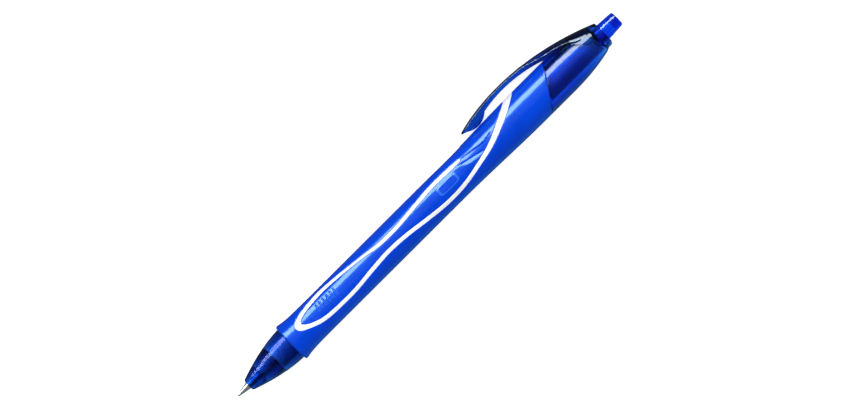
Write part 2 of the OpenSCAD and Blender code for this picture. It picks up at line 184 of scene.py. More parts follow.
def clip_half_w(z):
    """Half width of the clip."""
    return np.interp(z, CLIP_PLAN[:, 0], CLIP_PLAN[:, 1])


# The white line seen from the flank: z, x and half width along its middle
LINE = catmull([
    (87.4, 3.45, 0.3), (83.5, 3.55, 0.45), (77, 3.65, 0.44), (70, 3.15, 0.45), (63, 2.6, 0.44),
    (56.5, 2.6, 0.43), (50.5, 3.4, 0.28), (46.4, 3.85, 0.26), (42.5, 4.22, 0.3), (36, 4.58, 0.36),
    (31, 4.35, 0.42), (26.7, 3.6, 0.5), (25.05, 2.25, 0.95), (26.8, 0.55, 0.6), (31, -1.1, 0.56),
    (36, -1.6, 0.53), (43, -1.62, 0.53), (49.6, -0.98, 0.54), (56.5, -0.5, 0.54),
    (63.2, -0.85, 0.54), (70, -1.78, 0.54), (77, -2.52, 0.54), (83.5, -2.36, 0.55),
    (90.3, -1.1, 0.56), (96.5, 0.5, 0.68), (103.3, 3.35, 0.82), (108.3, 5.75, 0.75),
    (112, 7.6, 0.75)], 10)


def segment_distance(u, v, path):
    """Distance of each point to each segment of a path, and the share of the segment it is nearest to."""
    a, b = path[:-1, :2], path[1:, :2]
    d = b - a
    w = np.stack([u, v], -1)[:, None, :] - a[None]
    t = np.clip((w * d).sum(-1) / (d * d).sum(-1), 0, 1)
    gap = w - t[..., None] * d
    return np.hypot(gap[..., 0], gap[..., 1]), t


def line_field(z, x):
    """How far outside the white line a point of the flank view is (negative inside the line)."""
    out = np.empty(len(z))
    for value in np.unique(z):
        here = z == value
        near = np.abs(LINE[:, 0] - value) < FAR
        path = LINE[np.convolve(near, [1, 1, 1], "same") > 0]
        if len(path) < 2:
            out[here] = FAR
            continue
        dist, t = segment_distance(z[here], x[here], path)
        half = path[:-1, 2] + t * (path[1:, 2] - path[:-1, 2])
        out[here] = (dist - half).min(1)
    return out


def seam_field(z, x):
    """How far in front of the slanted seam between grip and cap a point is."""
    return (SEAM_Z + x * SEAM_TAN - z) * math.cos(math.atan(SEAM_TAN))


# ---- mesh tools ----

WELD, SLIVER = 2e-7, 1e-8      # metres: points this close become one, and edges this short go
SNAP = 0.012                   # millimetres: vertices this close to a cut are taken as on it
EDGE_BAND = 0.16               # millimetres: width of the rounded edge along a cut
EDGE_LEVELS = (0.06, EDGE_BAND)
CORNER_SHARE = 0.45            # the most of a side that one rounded corner takes


def add_object(name, data):
    """A new object in the scene."""
    obj = bpy.data.objects.new(name, data)
    bpy.context.scene.collection.objects.link(obj)
    return obj


def finish_mesh(name, points, faces, sharp=38):
    """A smooth object, sharp only where its faces turn by more than sharp degrees."""
    mesh = bpy.data.meshes.new(name)
    mesh.from_pydata([tuple(p) for p in points], [], [list(f) for f in faces])
    bm = bmesh.new()
    bm.from_mesh(mesh)
    bmesh.ops.remove_doubles(bm, verts=bm.verts, dist=WELD)
    bmesh.ops.dissolve_degenerate(bm, edges=bm.edges, dist=SLIVER)
    bmesh.ops.recalc_face_normals(bm, faces=bm.faces)
    bm.to_mesh(mesh)
    bm.free()
    mesh.polygons.foreach_set("use_smooth", [True] * len(mesh.polygons))
    mesh.set_sharp_from_angle(angle=math.radians(sharp))
    return add_object(name, mesh)


def mark(obj, name, value):
    """Stores value(x, y, z) of a piece's vertices, in the pen's own axes, for its material."""
    points = np.array([v.co for v in obj.data.vertices])
    layer = obj.data.attributes.new(name, "FLOAT", "POINT")
    layer.data.foreach_set("value", value(*local(points)))


def spans(*parts):
    """Stations joined from (start, end, step) parts, without doubles."""
    rows = [np.linspace(a, b, max(2, round((b - a) / step) + 1)) for a, b, step in parts]
    return np.unique(np.round(np.concatenate(rows), 5))


def cut_faces(z, a, f, faces, level):
    """Splits each face that the field crosses at this level, so that an edge loop runs along it."""
    z, a, f = list(z), list(a), list(f)
    f = [level if abs(v - level) < SNAP else v for v in f]
    made, out = {}, []

    def between(i, j):
        key = (min(i, j), max(i, j))
        if key not in made:
            t = (level - f[i]) / (f[j] - f[i])
            turn = a[j] - a[i]
            turn -= 2 * math.pi * round(turn / (2 * math.pi))
            made[key] = len(z)
            z.append(z[i] + t * (z[j] - z[i]))
            a.append(a[i] + t * turn)
            f.append(level)
        return made[key]

    for face in faces:
        values = [f[i] - level for i in face]
        if min(values) >= 0 or max(values) <= 0:
            out.append(face)
            continue
        over, under = [], []
        for k, i in enumerate(face):
            j = face[(k + 1) % len(face)]
            u, v = f[i] - level, f[j] - level
            if u >= 0:
                over.append(i)
            if u <= 0:
                under.append(i)
            if u * v < 0:
                m = between(i, j)
                over.append(m)
                under.append(m)
        out += [p for p in (over, under) if len(p) > 2]
    return z, a, f, out


def shell(zs, columns, field, outer, inner):
    """Closed shell around the pen's axis, kept where field(z, angle) > 0. outer and inner give its
    radii from z, angle and field. Edge loops follow the cut at the edge levels."""
    zz, aa = np.meshgrid(zs, np.arange(columns) * 2 * math.pi / columns, indexing="ij")
    z, a = zz.ravel(), aa.ravel()
    index = np.arange(len(z)).reshape(zz.shape)
    beside = np.roll(index, -1, 1)
    quads = np.stack([index[:-1], beside[:-1], beside[1:], index[1:]], -1)
    faces = [list(q) for q in quads.reshape(-1, 4)]
    z, a, f, faces = cut_faces(z, a, field(z, a), faces, 0.0)
    kept = np.array(f) > 1e-9
    faces = [p for p in faces if kept[p].any()]
    for level in EDGE_LEVELS:
        z, a, f, faces = cut_faces(z, a, f, faces, level)
    z, a, f = np.array(z), np.array(a), np.array(f)
    used = np.unique(np.concatenate([np.array(p) for p in faces]))
    new_index = -np.ones(len(z), int)
    new_index[used] = np.arange(len(used))
    z, a, f = z[used], a[used], f[used]
    faces = [[int(new_index[i]) for i in p] for p in faces]
    n = len(z)
    radii = (outer(z, a, f), inner(z, a, f))
    points = np.concatenate([world(r * np.cos(a), r * np.sin(a), z) for r in radii])
    edges = {}
    for p in faces:
        for i, j in zip(p, p[1:] + p[:1]):
            if (j, i) in edges:
                del edges[(j, i)]
            else:
                edges[(i, j)] = True
    walls = [(j, i, i + n, j + n) for i, j in edges]
    return points, faces + [[i + n for i in reversed(p)] for p in faces] + walls


def lathe(profile, sides=96):
    """Points and faces of a closed outline (radius, z) turned about the pen's axis."""
    profile = np.array(profile, float)
    n = len(profile)
    angles = np.arange(sides) * 2 * math.pi / sides
    points = np.concatenate([world(profile[:, 0] * math.cos(t), profile[:, 0] * math.sin(t), profile[:, 1])
                             for t in angles])
    faces = []
    for s in range(sides):
        e = (s + 1) % sides
        for i in range(n):
            j = (i + 1) % n
            faces.append((s * n + i, s * n + j, e * n + j, e * n + i))
    return points, faces


def rounded(profile, radius, steps=5):
    """A closed outline with its corners rounded: rows are (r, z) or (r, z, own radius)."""
    rows = [tuple(p) + ((radius,) if len(p) == 2 else ()) for p in profile]
    out = []
    for k, (r, z, size) in enumerate(rows):
        p = np.array([r, z])
        a = np.array(rows[k - 1][:2]) - p
        b = np.array(rows[(k + 1) % len(rows)][:2]) - p
        la, lb = np.hypot(*a), np.hypot(*b)
        if size <= 0 or r <= 1e-6:
            out.append(p)
            continue
        cut = min(size, la * CORNER_SHARE, lb * CORNER_SHARE)
        a, b = p + a / la * cut, p + b / lb * cut
        for t in np.linspace(0, 1, steps):
            out.append((1 - t) ** 2 * a + 2 * t * (1 - t) * p + t ** 2 * b)
    return out


def merged(*parts):
    """Points and faces of several parts in one."""
    points, faces, start = [], [], 0
    for p, f in parts:
        points.append(np.asarray(p))
        faces += [[i + start for i in face] for face in f]
        start += len(p)
    return np.concatenate(points), faces


def loft(rings):
    """Points and faces through rings of the same number of world points, closed at both ends."""
    n = len(rings[0])
    faces = []
    for r in range(len(rings) - 1):
        for i in range(n):
            j = (i + 1) % n
            faces.append((r * n + i, r * n + j, (r + 1) * n + j, (r + 1) * n + i))
    faces += [list(range(n))[::-1], [(len(rings) - 1) * n + i for i in range(n)]]
    return np.concatenate(rings), faces


def wire(path, radius, sides=12):
    """A round wire along points (x, y, z) of the pen's own axes."""
    path = np.array(path, float)
    step = np.gradient(path, axis=0)
    step /= np.linalg.norm(step, axis=1)[:, None]
    side = np.cross(step, [0, 0, 1.0])
    side[np.linalg.norm(side, axis=1) < 1e-4] = (1, 0, 0)
    side /= np.linalg.norm(side, axis=1)[:, None]
    up = np.cross(side, step)
    turns = np.arange(sides) * 2 * math.pi / sides
    rings = [world(*(p + radius * (np.cos(turns)[:, None] * s + np.sin(turns)[:, None] * u)).T)
             for p, s, u in zip(path, side, up)]
    return loft(rings)


# ---- materials ----

LOW, HIGH = 0.3, 0.7                 # the part of a noise's range that a ramp is spread over
PAINTED_GLOW_Z, LINE_PAINTED_GLOW = (22, 23), 0.17   # painted glow: behind these z the white plastic gives off a little light of its own
# painted shade: the dark navy that the clip's marked faces turn to
PAINTED_SHADE_BLUE = (0.012, 0.016, 0.06)


class Paint:
    """A procedural material around one Principled shader."""

    def __init__(self, name, **values):
        self.mat = bpy.data.materials.new(name)
        self.mat.use_nodes = True
        self.tree = self.mat.node_tree
        self.tree.nodes.clear()
        self.out = self.add("OutputMaterial")
        self.shader = self.add("BsdfPrincipled")
        self.link(self.shader, "BSDF", self.out, "Surface")
        self.place = self.add("TexCoord")
        for key, value in values.items():
            self.shader.inputs[key.replace("_", " ")].default_value = value

    def add(self, kind, **settings):
        node = self.tree.nodes.new("ShaderNode" + kind)
        for key, value in settings.items():
            setattr(node, key, value)
        return node

    def link(self, a, out, b, into):
        self.tree.links.new(a.outputs[out], b.inputs[into])

    def noise(self, scale, detail=2.0, stretch=(1, 1, 1)):
        mapping = self.add("Mapping")
        mapping.inputs["Scale"].default_value = stretch
        node = self.add("TexNoise")
        node.inputs["Scale"].default_value = scale
        node.inputs["Detail"].default_value = detail
        self.link(self.place, "Object", mapping, "Vector")
        self.link(mapping, "Vector", node, "Vector")
        return node

    def spread(self, source, low, high, out="Fac", into="Roughness", low_in=LOW, high_in=HIGH):
        """Spreads a node's output from low to high, into an input of the shader."""
        node = self.add("MapRange")
        for key, value in (("From Min", low_in), ("From Max", high_in), ("To Min", low), ("To Max", high)):
            node.inputs[key].default_value = value
        self.link(source, out, node, "Value")
        self.link(node, "Result", self.shader, into)

    def colours(self, source, dark, light, mark=None, other=None):
        """Base colour from a ramp; where the mesh carries the mark, it turns to the other colour."""
        ramp = self.add("ValToRGB")
        ramp.color_ramp.interpolation = "EASE"
        for element, place, colour in zip(ramp.color_ramp.elements, (LOW, HIGH), (dark, light)):
            element.position = place
            element.color = (*colour, 1)
        self.link(source, "Fac", ramp, "Fac")
        if mark:
            mask = self.add("Attribute", attribute_name=mark)
            mix = self.add("MixRGB")
            mix.inputs["Color2"].default_value = (*other, 1)
            self.link(mask, "Fac", mix, "Fac")
            self.link(ramp, "Color", mix, "Color1")
            ramp = mix
        self.link(ramp, "Color", self.shader, "Base Color")

    def bump(self, source, distance, strength):
        node = self.add("Bump")
        node.inputs["Distance"].default_value = distance
        node.inputs["Strength"].default_value = strength
        self.link(source, "Fac", node, "Height")
        self.link(node, "Normal", self.shader, "Normal")


def rubber():
    """Soft blue skin, with a painted highlight on its raised lines."""
    p = Paint("grip_rubber_look", IOR=1.5, Specular_IOR_Level=0.5, Specular_Tint=(0.65, 1, 1, 1))
    # where the mesh carries the ridge mark the colour turns light blue: a painted highlight on the raised
    # lines
    p.colours(p.noise(140), (0.0002, 0.058, 0.74), (0.0004, 0.067, 0.83), "ridge", (0.07, 0.33, 1.0))
    fine = p.noise(5200, 3)
    p.spread(fine, 0.12, 0.17)
    p.bump(fine, 0.00001, 0.35)
    return p.mat


def hard_white():
    """White plastic, with a painted glow where it shows as the line."""
    p = Paint("white_plastic_look", Roughness=0.28, IOR=1.5)
    p.colours(p.noise(220), (0.93, 0.94, 0.95), (0.97, 0.97, 0.97))
    fine = p.noise(3800)
    p.spread(fine, 0.24, 0.34)
    p.bump(fine, 0.000005, 0.2)
    # painted light: the line's plastic glows a little behind the nose, so that it stays white where shade
    # falls
    along = p.add("SeparateXYZ")
    p.link(p.place, "Object", along, "Vector")
    front_x, rear_x = (float(world(0, 0, z)[0]) for z in PAINTED_GLOW_Z)
    p.spread(along, LINE_PAINTED_GLOW, 0.0, "X", "Emission Strength", rear_x, front_x)
    p.shader.inputs["Emission Color"].default_value = (1, 1, 1, 1)
    return p.mat


def clear_plastic(name, light, dark, absorb, rough=(0.03, 0.07), ripple=0.000004, mark=None, clear=1.0,
                  tint=(1, 1, 1)):
    """Moulded translucent plastic: its tint drifts a little, its polish has faint flow ripples, and its
    body swallows light by the millimetre (absorb gives red, green and blue). Where the mesh carries the
    mark, the colour turns to a painted shade."""
    p = Paint(name, IOR=1.49, Transmission_Weight=clear, Specular_IOR_Level=0.5, Specular_Tint=(*tint, 1))
    body = p.add("VolumeAbsorption")
    most = max(absorb)
    body.inputs["Density"].default_value = most / MM
    body.inputs["Color"].default_value = (*(1 - a / most for a in absorb), 1)
    p.link(body, "Volume", p.out, "Volume")
    # marked faces take the painted shade colour
    p.colours(p.noise(160, 2, (1, 2.2, 2.2)), dark, light, mark, PAINTED_SHADE_BLUE)
    fine = p.noise(900, 2, (0.4, 1, 1))
    p.spread(fine, *rough)
    p.bump(fine, ripple, 0.3)
    return p.mat


def opaque_plastic(name, light, dark, rough=(0.3, 0.42)):
    """Moulded plastic that lets no light through."""
    p = Paint(name, IOR=1.47)
    p.colours(p.noise(300), dark, light)
    fine = p.noise(2600)
    p.spread(fine, *rough)
    p.bump(fine, 0.000006, 0.25)
    return p.mat


def metal(name, light, dark, rough=(0.12, 0.24), lines=9000, metallic=1.0):
    """Turned or drawn metal: fine rings across the pen's axis."""
    p = Paint(name, Metallic=metallic)
    p.colours(p.noise(900), dark, light)
    turned = p.noise(lines, 2, (1, 0.03, 0.03))
    p.spread(turned, *rough)
    p.bump(turned, 0.000002, 0.3)
    return p.mat


def liquid(name, light, dark, rough=(0.12, 0.2)):
    """Ink or grease."""
    p = Paint(name, IOR=1.4, Coat_Weight=0.3)
    p.colours(p.noise(400, 3), dark, light)
    p.spread(p.noise(700), *rough)
    return p.mat


LOOK = {
    "rubber": rubber(),
    "white": hard_white(),
    "nose": clear_plastic("nose_plastic_look", (0.42, 0.60, 0.97), (0.34, 0.52, 0.93), (1.9, 1.0, 0.48),
                          (0.08, 0.13), 0.0000005, tint=(0.35, 0.42, 0.9)),
    "cap": clear_plastic("cap_plastic_look", (0.42, 0.55, 0.98), (0.34, 0.47, 0.95), (1.1, 0.48, 0.15),
                         (0.07, 0.12), 0.0000005, tint=(1, 1, 0.75)),
    "clip": clear_plastic("clip_plastic_look", (0.40, 0.50, 0.93), (0.32, 0.42, 0.88), (1.3, 0.5, 0.17),
                          mark="outer"),
    "button": clear_plastic("button_plastic_look", (0.30, 0.62, 0.98), (0.24, 0.55, 0.95),
                            (2.2, 0.9, 0.17)),
    "cam": clear_plastic("cam_plastic_look", (0.84, 0.89, 0.98), (0.78, 0.84, 0.96), (0.15, 0.1, 0.02),
                         (0.12, 0.18), clear=0.45),
    "tab": opaque_plastic("tab_plastic_look", (0.04, 0.36, 0.90), (0.03, 0.30, 0.82), (0.15, 0.25)),
    "rotor": opaque_plastic("rotor_plastic_look", (0.62, 0.62, 0.58), (0.55, 0.55, 0.50)),
    "holder": opaque_plastic("holder_plastic_look", (0.72, 0.74, 0.76), (0.64, 0.66, 0.68)),
    "tube": clear_plastic("tube_plastic_look", (0.88, 0.91, 0.93), (0.82, 0.86, 0.90), (0.12, 0.1, 0.08),
                          (0.12, 0.2)),
    "ink": liquid("ink_look", (0.01, 0.03, 0.42), (0.006, 0.02, 0.32)),
    "grease": liquid("grease_look", (0.75, 0.70, 0.45), (0.68, 0.62, 0.38), (0.2, 0.3)),
    "spring": metal("spring_steel_look", (0.62, 0.63, 0.66), (0.5, 0.51, 0.54), lines=4000),
    "tip": metal("tip_steel_look", (0.62, 0.62, 0.61), (0.54, 0.54, 0.54), (0.05, 0.08), metallic=0.7),
    "ball": metal("ball_carbide_look", (0.42, 0.42, 0.44), (0.34, 0.34, 0.36), (0.08, 0.14)),
}


def wear(obj, look):
    """Gives an object its material."""
    obj.data.materials.clear()
    obj.data.materials.append(LOOK[look])


def dress(obj, look, nodes=(), body=None):
    """Gives a piece its material, the CAD nodes it stands for and its body."""
    wear(obj, look)
    if nodes:
        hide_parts(*nodes)
    if body:
        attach(obj, body)


# ---- grip and core ----

# Six arches across the flank's panel: where they stand, the angles of their feet and tops off the
# flank's middle, and the half width, line width, height and fading foot of each
ARCH_Z = 32.3 + 1.3 * np.arange(6)
ARCH_LOW, ARCH_HIGH = math.radians(9.5), math.radians(33)
ARCH_HALF, ARCH_LINE, ARCH_H, ARCH_FOOT = 0.27, 0.17, 0.27, 0.35

# The plain rounded frame: its middle (z and angle), half length and half width, line width and height
FRAME_Z, FRAME_T, FRAME_LEN, FRAME_WIDE = 80.7, math.radians(9.5), 3.2, 1.15
FRAME_LINE, FRAME_H, FRAME_SQUARE = 0.2, 0.1, 5.0

# Two creases behind it, steep on one side: z and angle along each, its depth, and its flat floor
CREASES = [(((87.6, 40.5), (95.2, 27), (98.7, 33)), 0.3, 1.6),
           (((86.0, 31), (94.4, 11)), 0.16, 0.25)]
CREASE_STEEP, CREASE_SOFT, PANEL_R = 0.16, 1.5, 5.55

# The shallow bed before the clip's tip, which ends in a step
BED_DEPTH, BED_TURN, BED_SIDE = 0.11, 0.55, 0.25
BED_Z, BED_RUN, BED_END_Z, BED_STEP = 76, 12, 89.9, 0.35

LIP_ROUND = 0.45
LINE_ROOT_R, LINE_PROUD, LINE_END_Z = 4.3, 0.02, 112
CORE_R, CORE_BORE_R, CORE_Z, CORE_END_Z = 4.6, 3.9, 20.25, 121
NECK_R, NECK_BORE_R, NECK_Z, NECK_END_Z = 3.45, 3.0, 14.6, 20.3
THREAD_Z, THREAD_END_Z, THREAD_PITCH, THREAD_H = 15.0, 19.4, 1.1, 0.15
THREAD_HALF, THREAD_FADE = 0.22, 0.5


def flank(z, a):
    """Angle and arc length of points round from the middle of the flank towards the clip."""
    turn = np.abs((a + math.pi) % (2 * math.pi) - math.pi)
    return math.pi / 2 - turn, (math.pi / 2 - turn) * outline_r(z)


def raised_lines(z, a):
    """Strength of the raised lines: the row of arches, and the rounded frame behind them."""
    arc, r = flank(z, a)[1], outline_r(z)
    arches = np.zeros_like(z)
    for centre in ARCH_Z:
        near = np.abs(z - centre) < 0.9
        along = np.clip(arc, ARCH_LOW * r, ARCH_HIGH * r - ARCH_HALF)
        d = np.hypot(z - centre, arc - along)
        line = 1 - ease(np.abs(d - ARCH_HALF) / ARCH_LINE)
        ends = ease((arc - ARCH_LOW * r) / ARCH_FOOT + 0.5)
        arches = np.where(near, np.maximum(arches, line * ends), arches)
    out = ((np.abs(z - FRAME_Z) / FRAME_LEN) ** FRAME_SQUARE
           + (np.abs(arc - FRAME_T * r) / FRAME_WIDE) ** FRAME_SQUARE)
    frame_line = 1 - ease(np.abs(out ** (1 / FRAME_SQUARE) - 1) * FRAME_WIDE / FRAME_LINE)
    return arches, frame_line


def relief(z, a):
    """Height of the moulded detail on the grip's flanks: raised lines, creases and the clip's bed."""
    t, arc = flank(z, a)
    turn = math.pi / 2 - t
    arches, frame_line = raised_lines(z, a)
    h = ARCH_H * arches + FRAME_H * frame_line
    near = (z > 80) & (z < 101) & (t > 0)
    zz, uu = z[near], arc[near]
    for path, depth, hold in CREASES:
        path_z, path_arc = np.array(path).T * np.array([[1], [math.radians(1) * PANEL_R]])
        slope = (path_arc[1] - path_arc[0]) / (path_z[1] - path_z[0])
        d = (np.interp(zz, path_z, path_arc) - uu) * math.cos(math.atan(slope))
        fade = ease((zz - path_z[0] + 0.5) / 2.5) * ease((path_z[-1] + 0.3 - zz) / 1.2)
        h[near] -= depth * ease(d / CREASE_STEEP) * (1 - ease((d - hold) / CREASE_SOFT)) * fade
    bed = ease((BED_TURN - turn) / BED_SIDE) * ease((z - BED_Z) / BED_RUN)
    return h - BED_DEPTH * bed * (1 - ease((z - BED_END_Z) / BED_STEP))


def edge_dip(f, depth, width=EDGE_BAND):
    """How far a surface dips towards an edge, f away from it."""
    return depth * (1 - np.clip(f, 0, width) / width) ** 2


def skin_r(z):
    """Radius of the grip's skin, with its rounded front lip."""
    t = np.clip((z - GRIP_Z) / (LIP_Z - GRIP_Z), 0, 1)
    lip = LIP_ROUND * (1 - np.sqrt(1 - (1 - t) ** 2 + 1e-12))
    return outline_r(np.maximum(z, LIP_Z)) - lip


def grip_field(z, a):
    """Positive where the grip's skin is: outside the white line, in front of the seam."""
    x = outline_r(z) * np.cos(a)
    return np.minimum(line_field(z, x), seam_field(z, x) - SEAM_GAP)


def stripe_field(z, a):
    """Positive inside the white line."""
    return -line_field(z, outline_r(z) * np.cos(a))


def painted_ridge_highlight(x, y, z):
    """Painted highlight: where the grip's colour is made lighter, on its raised lines, to stand for the
    gloss they catch.
    """
    arches, frame_line = raised_lines(z, np.arctan2(y, x))
    outer_wall = np.hypot(x, y) > 5
    return (arches + 0.45 * frame_line) * outer_wall


GRIP_ROWS = spans((GRIP_Z, LIP_Z, 0.07), (LIP_Z, 24, 0.3), (24, 31.4, 0.25), (31.4, 39.8, 0.1),
                  (39.8, 76, 0.55), (76, 86, 0.12), (86, 100, 0.25), (100, 122, 0.4))
grip = finish_mesh("grip_skin", *shell(
    GRIP_ROWS, 192, grip_field,
    lambda z, a, f: skin_r(z) + relief(z, a) - edge_dip(f, 0.1),
    lambda z, a, f: np.full_like(z, GRIP_BORE_R)), sharp=42)
# painted highlight: the raised lines are stored lighter in colour
mark(grip, "ridge", painted_ridge_highlight)
dress(grip, "rubber", ["grip_sleeve"], "pen_body")


def thread(z, a, f):
    """Radius of the neck with its thread."""
    phase = ((z - THREAD_Z) / THREAD_PITCH - a / (2 * math.pi)) % 1.0
    ridge = ease(1 - np.abs(phase - 0.5) / THREAD_HALF)
    run = ease((z - THREAD_Z) / THREAD_FADE) * ease((THREAD_END_Z - z) / THREAD_FADE)
    return NECK_R + THREAD_H * ridge * run - edge_dip(z - NECK_Z, 0.12, 0.15)


stripe = shell(spans((24, 31.4, 0.25), (31.4, LINE_END_Z, 0.45)), 144, stripe_field,
               lambda z, a, f: skin_r(z) + LINE_PROUD - edge_dip(f, 0.07),
               lambda z, a, f: np.full_like(z, LINE_ROOT_R))
core = shell(spans((CORE_Z, CORE_END_Z, 2.0)), 96,
             lambda z, a: seam_field(z, CORE_R * np.cos(a)) - SEAM_GAP,
             lambda z, a, f: np.full_like(z, CORE_R) - edge_dip(f, 0.15),
             lambda z, a, f: np.where(z > 24, CORE_BORE_R, NECK_R))
neck = shell(spans((NECK_Z, NECK_END_Z, 0.1)), 96,
             lambda z, a: np.full_like(z, FAR), thread,
             lambda z, a, f: np.full_like(z, NECK_BORE_R))
whites = finish_mesh("barrel_white", *merged(stripe, core, neck), sharp=42)
dress(whites, "white", ["barrel_core"], "pen_body")

# ---- nose cone ----

nose_outside = [(float(nose_r(z)), z, 0) for z in np.linspace(4.35, 20.0, 48)]
nose_rear = [(5.13, 20.15, 0.05), (3.68, 20.15, 0.05)]
nose_inside = [(3.68, 14.3, 0.08), (2.4, 14.0, 0.15), (2.4, 8.8, 0.1), (1.55, 8.8, 0.1), (1.55, 6.6, 0.05),
               (1.2, 6.6, 0.05), (1.2, NOSE_Z, 0.15)]
nose = finish_mesh("nose_shell", *lathe(
    rounded([(1.5, NOSE_Z, 0.12)] + nose_outside + nose_rear + nose_inside, 0.1), 128))
dress(nose, "nose", ["nose_cone"], "nose")

# ---- rear cap ----


def cap_field(z, a):
    """Positive where the cap is: behind the slanted seam, below the hood's arc."""
    x = outline_r(z) * np.cos(a)
    arc = SEAM_ARC_R - np.hypot(z - SEAM_ARC_Z, x - SEAM_ARC_X)
    return np.minimum(-seam_field(z, x) - SEAM_GAP, arc - SEAM_GAP)


cap_outside = shell(spans((112, TAPER_Z, 0.4), (TAPER_Z, 136.8, 0.3), (136.8, CAP_END_Z, 0.08)), 144,
                    cap_field,
                    lambda z, a, f: outline_r(z) - edge_dip(f, 0.09) - edge_dip(CAP_END_Z - z, 0.16, 0.3),
                    lambda z, a, f: np.full_like(z, CAM_R + CLEAR))
cap_plug = lathe(rounded([(3.2, 108), (3.88, 108), (3.88, 113.8), (3.58, 114.2), (3.58, 117.3),
                          (3.2, 117.3)], 0.12))
cap = finish_mesh("cap_shell", *merged(cap_outside, cap_plug))
dress(cap, "cap", ["rear_cap"], "pen_body")

# ---- clip: arm and hood in one moulding, then the collar and its snap tab ----

# Against z: how far the top falls from its middle to its sides, and the height of the underside from
# the tip to the pad's rear end
CROWN = np.array([(CLIP_TIP_Z, 0.05), (112, 0.09), (117, 0.16), (120, 0.6), (123.6, 1.2), (127, 1.5),
                  (130.4, 2.2)])
PAD_END_Z = 101.7
ARM_UNDER = np.array([(CLIP_TIP_Z, 7.42), (93.4, 7.3), (94.6, 6.95), (97, 6.75), (100, 6.95),
                      (PAD_END_Z, 7.71)])
PAD_Z, PAD_LOW, PAD_ARC, PAD_HALF = 97.7, 5.88, 5.6, 1.3
EDGE_R = 0.28
ROOT_Z, HOOD_Z, HOOD_RUN, WRAP_Z = 119, 121, 9, 131  # the arm's root, the hood, and where it wraps the cap
CAM_END_Z, CLIP_END_Z = 136.3, 137.35
HOOD_SQUARE = 6.0
FINE, OUTSIDE, INSIDE = 121, 61, 41                 # points of a section while it is drawn, and after


def arm_bottom(z, y):
    """Underside of the clip at one station, for an array of y."""
    if z < PAD_END_Z:
        base = np.full_like(y, np.interp(z, ARM_UNDER[:, 0], ARM_UNDER[:, 1]))
        drop = abs(z - PAD_Z)
        if drop < PAD_ARC * 0.95:
            low = PAD_LOW + PAD_ARC - math.sqrt(PAD_ARC ** 2 - drop ** 2)
            side = 1 - ease((np.abs(y) - PAD_HALF + 0.5) / 0.55)
            base = base - np.maximum(base - low, 0) * side
        return base
    base = np.full_like(y, float(clip_under_x(z)))
    if z > ROOT_Z:
        r = float(outline_r(z)) + CLEAR
        base = np.maximum(base, np.sqrt(np.maximum(r * r - y * y, 0)))
    return base


def path_points(path, count):
    """Evenly spaced points along a path."""
    path = np.asarray(path)
    gone = np.concatenate([[0], np.cumsum(np.hypot(*np.diff(path, axis=0).T))])
    at = np.linspace(0, gone[-1], count)
    return np.stack([np.interp(at, gone, path[:, k]) for k in (0, 1)], -1)


def arm_ring(z, top, half):
    """Section of the arm: over its crowned top from foot to foot, and back along its underside."""
    y = half * np.sin(np.linspace(-1, 1, FINE) * math.pi / 2)
    crown = float(np.interp(z, CROWN[:, 0], CROWN[:, 1]))
    if z > HOOD_Z:
        true_crown = top - math.sqrt(max(top * top - min(half, top * 0.999) ** 2, 0))
        crown = crown + (true_crown - crown) * float(ease((z - HOOD_Z) / HOOD_RUN))
    edge = min(EDGE_R, half * 0.4, 0.45 * max(top - float(clip_under_x(z)), 0.2))
    over = np.clip((np.abs(y) - (half - edge)) / edge, 0, 1)
    x = top - crown * (np.abs(y) / half) ** 2 - edge * (1 - np.sqrt(np.maximum(1 - over ** 2, 0)))
    foot_x = float(arm_bottom(z, np.array([half]))[0])
    path = np.vstack([[foot_x, -half], np.stack([x, y], -1), [foot_x, half]])
    inside_y = np.linspace(half, -half, INSIDE)
    return path_points(path, OUTSIDE), np.stack([arm_bottom(z, inside_y), inside_y], -1)


def hood_ring(z, top, half):
    """Section of the hood where it wraps the cap: round its outside, and back along its bore."""
    rim = float(outline_r(z))
    reach = math.acos(max(-1.0, min(1.0, float(seam_arc_x(z)) / rim)))
    angles = np.linspace(-reach, reach, FINE)
    wide = half / np.maximum(np.abs(np.sin(angles)), 1e-6)
    wide = np.where(np.cos(angles) > 0, wide, 99)
    radius = (top ** -HOOD_SQUARE + wide ** -HOOD_SQUARE) ** (-1 / HOOD_SQUARE)
    radius = np.maximum(radius, min(rim, top))
    path = np.stack([radius * np.cos(angles), radius * np.sin(angles)], -1)
    back = np.linspace(reach, -reach, INSIDE)
    bore = CAM_R + 2 * CLEAR if z < CAM_END_Z else COLLAR_BORE_R
    return path_points(path, OUTSIDE), np.stack([bore * np.cos(back), bore * np.sin(back)], -1)


def clip_loft():
    """The clip's arm and hood, from its tip to the collar."""
    rings = []
    for z in spans((CLIP_TIP_Z, 94, 0.12), (94, 104, 0.25), (104, ROOT_Z, 0.5), (ROOT_Z, WRAP_Z, 0.25),
                   (WRAP_Z, CLIP_END_Z, 0.2)):
        section = arm_ring if z < WRAP_Z else hood_ring
        ring = np.vstack(section(z, float(clip_top_x(z)), float(clip_half_w(z))))
        rings.append(world(ring[:, 0], ring[:, 1], z))
    return loft(rings)


def painted_clip_shade(x, y, z):
    """Painted shade: where the clip's colour is darkened, its outer face and its root, to stand for how dark
    they look.
    """
    top = np.where(z > 124, np.sqrt(np.maximum(clip_top_x(z) ** 2 - y * y, 0)), clip_top_x(z))
    outer = ease((x - top + 0.55) / 0.35) * ease((clip_half_w(z) + 0.35 - np.abs(y)) / 0.3)
    return np.maximum(outer, 0.45 * ease((z - 116) / 5))


clip = finish_mesh("clip_moulding", *clip_loft(), sharp=45)
# painted shade: the clip's outer face and root are stored darker in colour
mark(clip, "outer", painted_clip_shade)
dress(clip, "clip", ["clip_arm", "clip_collar"])

